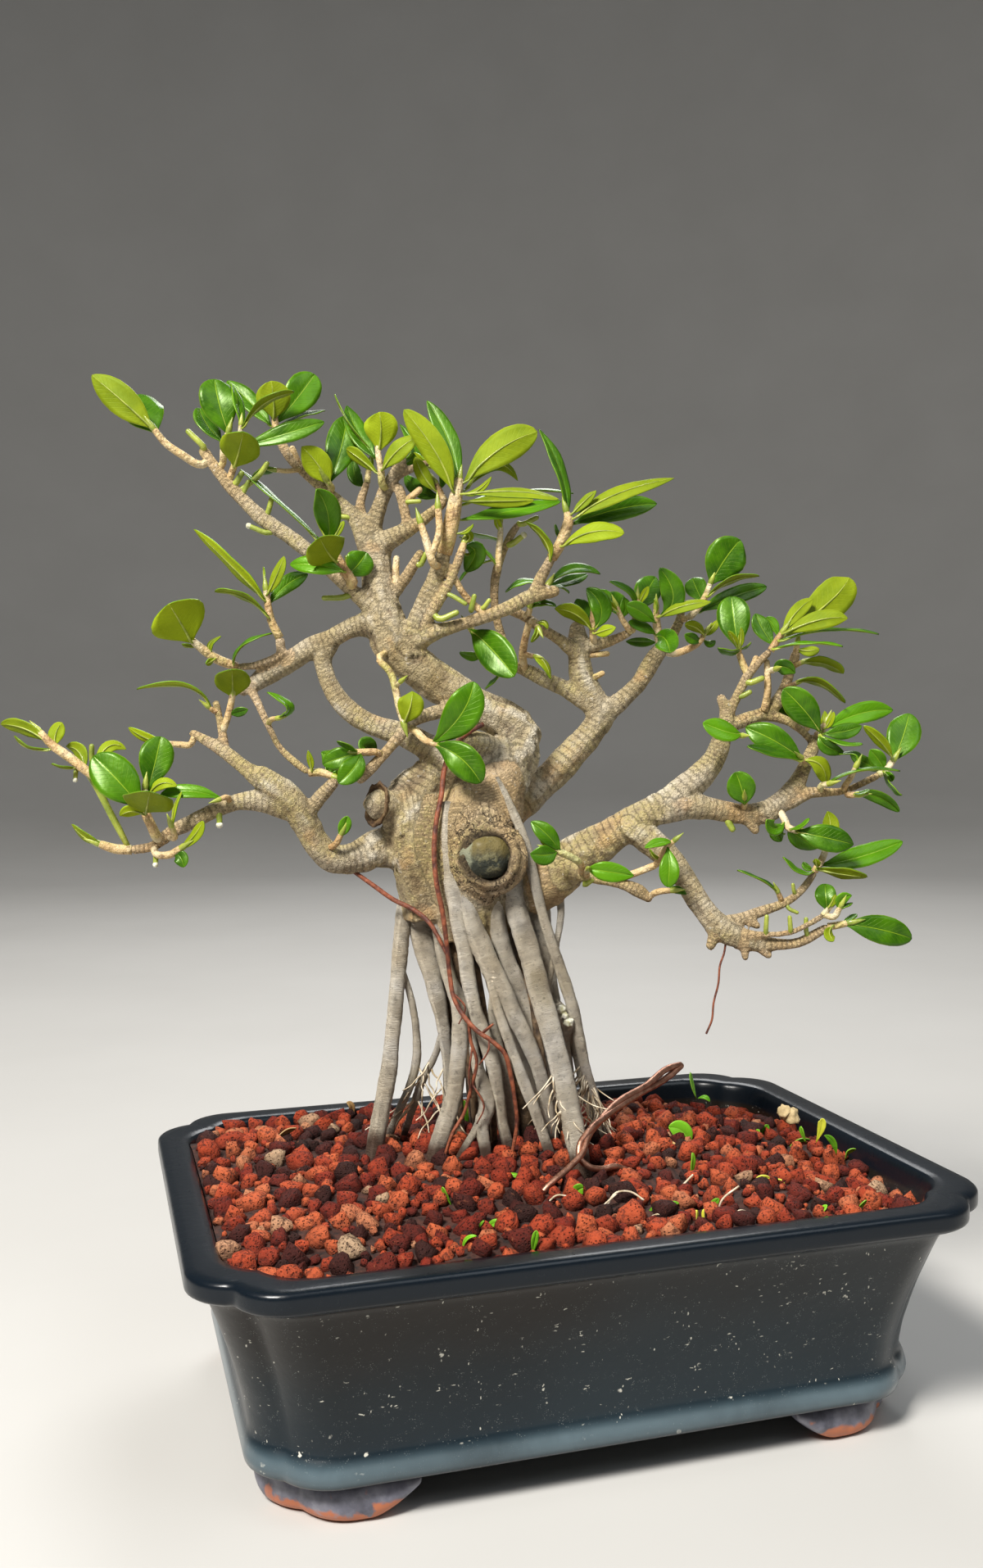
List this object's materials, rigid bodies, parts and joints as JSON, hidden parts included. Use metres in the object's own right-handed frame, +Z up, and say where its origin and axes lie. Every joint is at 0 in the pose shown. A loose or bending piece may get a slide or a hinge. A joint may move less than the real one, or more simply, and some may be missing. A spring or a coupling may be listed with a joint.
{
  "type": "chinese banyan bonsai",
  "caption": "Chinese banyan bonsai: a leaning trunk fused from pillar roots with arching leafy limbs, in lava gravel in a dark glazed rectangular pot with a notched rim and cloud feet.",
  "frame": {"origin": "on the table, under the middle of the whole tree and pot", "axes": "+Z up, X along the pot's long side with +X to the right as seen from its front, which faces -Y"},
  "size_m": [0.363, 0.22, 0.4213],
  "materials": {
    "glazed_stoneware": "glossy dark navy and black-brown glaze with pale flecks, over stoneware",
    "drain_mesh": "matt moulded plastic grid",
    "lava_gravel": "rough porous red, maroon and dark brown lava granules",
    "bark": "matt grey-beige bark with paler lenticels and olive lichen",
    "red_root": "satin red-brown skin of young aerial roots",
    "copper_wire": "dulled annealed copper wire",
    "leaf": "waxy glossy green upper faces, paler matt undersides, green and tan stems"
  },
  "bodies": {
    "root": {"drain_mesh_left": "drain_mesh", "drain_mesh_right": "drain_mesh", "leaf_front_low": "leaf", "leaf_limb_round": "leaf", "leaf_long_arc": "leaf", "leaf_right_back_a": "leaf", "leaf_right_back_b": "leaf", "pot": "glazed_stoneware", "red_roots": "red_root", "shoot_green": "leaf", "soil": "lava_gravel", "spray_behind": "leaf", "spray_centre": "leaf", "spray_cross": "leaf", "spray_crown": "leaf", "spray_crown_low": "leaf", "spray_far_right": "leaf", "spray_fork_pair": "leaf", "spray_front": "leaf", "spray_front_right": "leaf", "spray_gold": "leaf", "spray_grey_left": "leaf", "spray_hanging": "leaf", "spray_knuckle": "leaf", "spray_knuckle_right": "leaf", "spray_knuckle_tip": "leaf", "spray_leader_centre": "leaf", "spray_leader_fork": "leaf", "spray_leader_left": "leaf", "spray_leader_mid": "leaf", "spray_leader_mid_left": "leaf", "spray_left_big": "leaf", "spray_left_fan": "leaf", "spray_left_low_point": "leaf", "spray_left_low_right": "leaf", "spray_left_point": "leaf", "spray_left_shoot": "leaf", "spray_left_up": "leaf", "spray_low_right_in": "leaf", "spray_low_right_tip": "leaf", "spray_low_right_up": "leaf", "spray_right_back": "leaf", "spray_right_centre": "leaf", "spray_right_centre_low": "leaf", "spray_right_centre_up": "leaf", "spray_right_crown": "leaf", "spray_right_glossy": "leaf", "spray_right_mid": "leaf", "spray_right_mid_left": "leaf", "spray_right_top": "leaf", "spray_right_under": "leaf", "spray_upper_left": "leaf", "spray_upper_left_b": "leaf", "spray_upright": "leaf", "tie_wire": "copper_wire", "trunk": "bark"}
  },
  "joints": []
}
